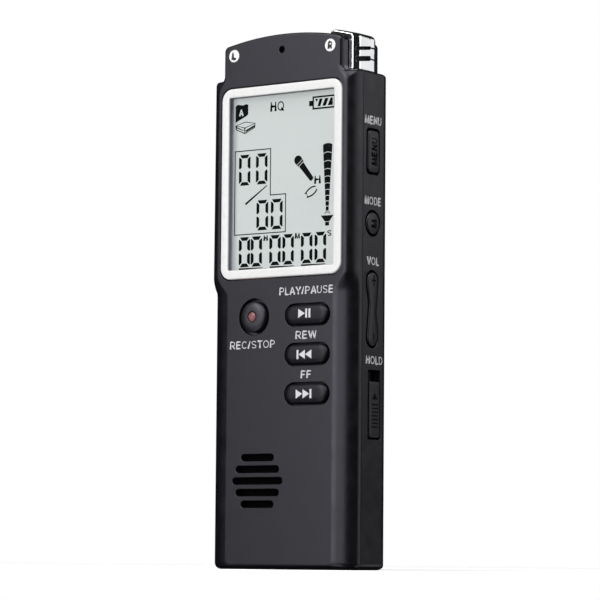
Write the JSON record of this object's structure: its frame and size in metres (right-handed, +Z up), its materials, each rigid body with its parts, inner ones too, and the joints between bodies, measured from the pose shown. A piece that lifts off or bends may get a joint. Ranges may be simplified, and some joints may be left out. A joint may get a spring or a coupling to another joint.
{
  "type": "handheld voice recorder",
  "caption": "Slim upright voice recorder with a framed display, domed front keys, side keys and slider, speaker slots and raised chrome microphone corners.",
  "frame": {"origin": "middle of the flat foot that the recorder stands on, halfway between its sides and halfway through its body's depth", "axes": "+X to the recorder's right side, where the side keys are, -Y out of its face, +Z up towards the microphones"},
  "size_m": [0.0333, 0.0138, 0.102],
  "materials": {
    "shell_black": "satin charcoal",
    "key_black": "semi-gloss",
    "frame_white": "semi-gloss white",
    "window_clear": "clear",
    "indicator_red": "translucent red",
    "chrome": "mirror",
    "steel": "satin",
    "nickel": "satin",
    "cloth_black": "matt weave",
    "board_green": "satin",
    "display_grey": "satin",
    "light_guide": "satin",
    "battery_silver": "satin foil",
    "foam_grey": "matt",
    "rubber_black": "matt",
    "part_black": "matt",
    "wire_red": "satin",
    "wire_black": "satin",
    "flex_amber": "satin"
  },
  "bodies": {
    "recorder": {"front_shell": "shell_black", "rear_shell": "shell_black", "lcd_bezel": "frame_white", "lcd_window": "window_clear", "lcd_panel": "display_grey", "lcd_backlight": "light_guide", "lcd_flex": "flex_amber", "rec_switch": "steel", "play_switch": "steel", "rewind_switch": "steel", "forward_switch": "steel", "menu_switch": "steel", "mode_switch": "steel", "volume_up_switch": "steel", "volume_down_switch": "steel", "volume_pin": "steel", "hold_switch": "steel", "left_mic_cap": "chrome", "right_mic_cap": "chrome", "left_mic_capsule": "nickel", "right_mic_capsule": "nickel", "centre_mic_boot": "rubber_black", "centre_mic_capsule": "nickel", "earphone_jack": "part_black", "line_in_jack": "part_black", "usb_socket": "steel", "speaker_cloth": "cloth_black", "speaker": "steel", "main_pcb": "board_green", "main_chip": "part_black", "flash_chip": "part_black", "battery": "battery_silver", "battery_foam": "foam_grey", "battery_lead_red": "wire_red", "battery_lead_black": "wire_black", "speaker_lead_red": "wire_red", "speaker_lead_black": "wire_black", "rear_screw_1": "steel", "rear_screw_2": "steel", "rear_screw_3": "steel"},
    "rec_key": {"rec_button": "key_black", "rec_indicator": "indicator_red", "rec_plunger": "part_black"},
    "play_key": {"play_button": "key_black", "play_plunger": "part_black"},
    "rewind_key": {"rewind_button": "key_black", "rewind_plunger": "part_black"},
    "forward_key": {"forward_button": "key_black", "forward_plunger": "part_black"},
    "menu_key": {"menu_button": "key_black", "menu_plunger": "part_black"},
    "mode_key": {"mode_button": "key_black", "mode_plunger": "part_black"},
    "volume_key": {"volume_rocker": "key_black", "volume_up_plunger": "part_black", "volume_down_plunger": "part_black"},
    "hold_knob": {"hold_slider": "key_black", "hold_lever": "part_black"}
  },
  "joints": [
    {"name": "rec_press", "type": "slide", "parent": "recorder", "child": "rec_key", "axis": [0, 1, 0], "range_m": [0, 0.0004], "stiffness_N_per_m": 1200},
    {"name": "play_press", "type": "slide", "parent": "recorder", "child": "play_key", "axis": [0, 1, 0], "range_m": [0, 0.0004], "stiffness_N_per_m": 1200},
    {"name": "rewind_press", "type": "slide", "parent": "recorder", "child": "rewind_key", "axis": [0, 1, 0], "range_m": [0, 0.0004], "stiffness_N_per_m": 1200},
    {"name": "forward_press", "type": "slide", "parent": "recorder", "child": "forward_key", "axis": [0, 1, 0], "range_m": [0, 0.0004], "stiffness_N_per_m": 1200},
    {"name": "menu_press", "type": "slide", "parent": "recorder", "child": "menu_key", "axis": [-1, 0, 0], "range_m": [0, 0.00035], "stiffness_N_per_m": 1200},
    {"name": "mode_press", "type": "slide", "parent": "recorder", "child": "mode_key", "axis": [-1, 0, 0], "range_m": [0, 0.00035], "stiffness_N_per_m": 1200},
    {"name": "volume_tilt", "type": "hinge", "parent": "recorder", "child": "volume_key", "pos_m": [0.0139, 0.0006, 0.049], "axis": [0, 1, 0], "range_deg": [-2.5, 2.5], "stiffness_Nm_per_rad": 0.08},
    {"name": "hold_slide", "type": "slide", "parent": "recorder", "child": "hold_knob", "axis": [0, 0, 1], "range_m": [0, 0.0018]}
  ]
}
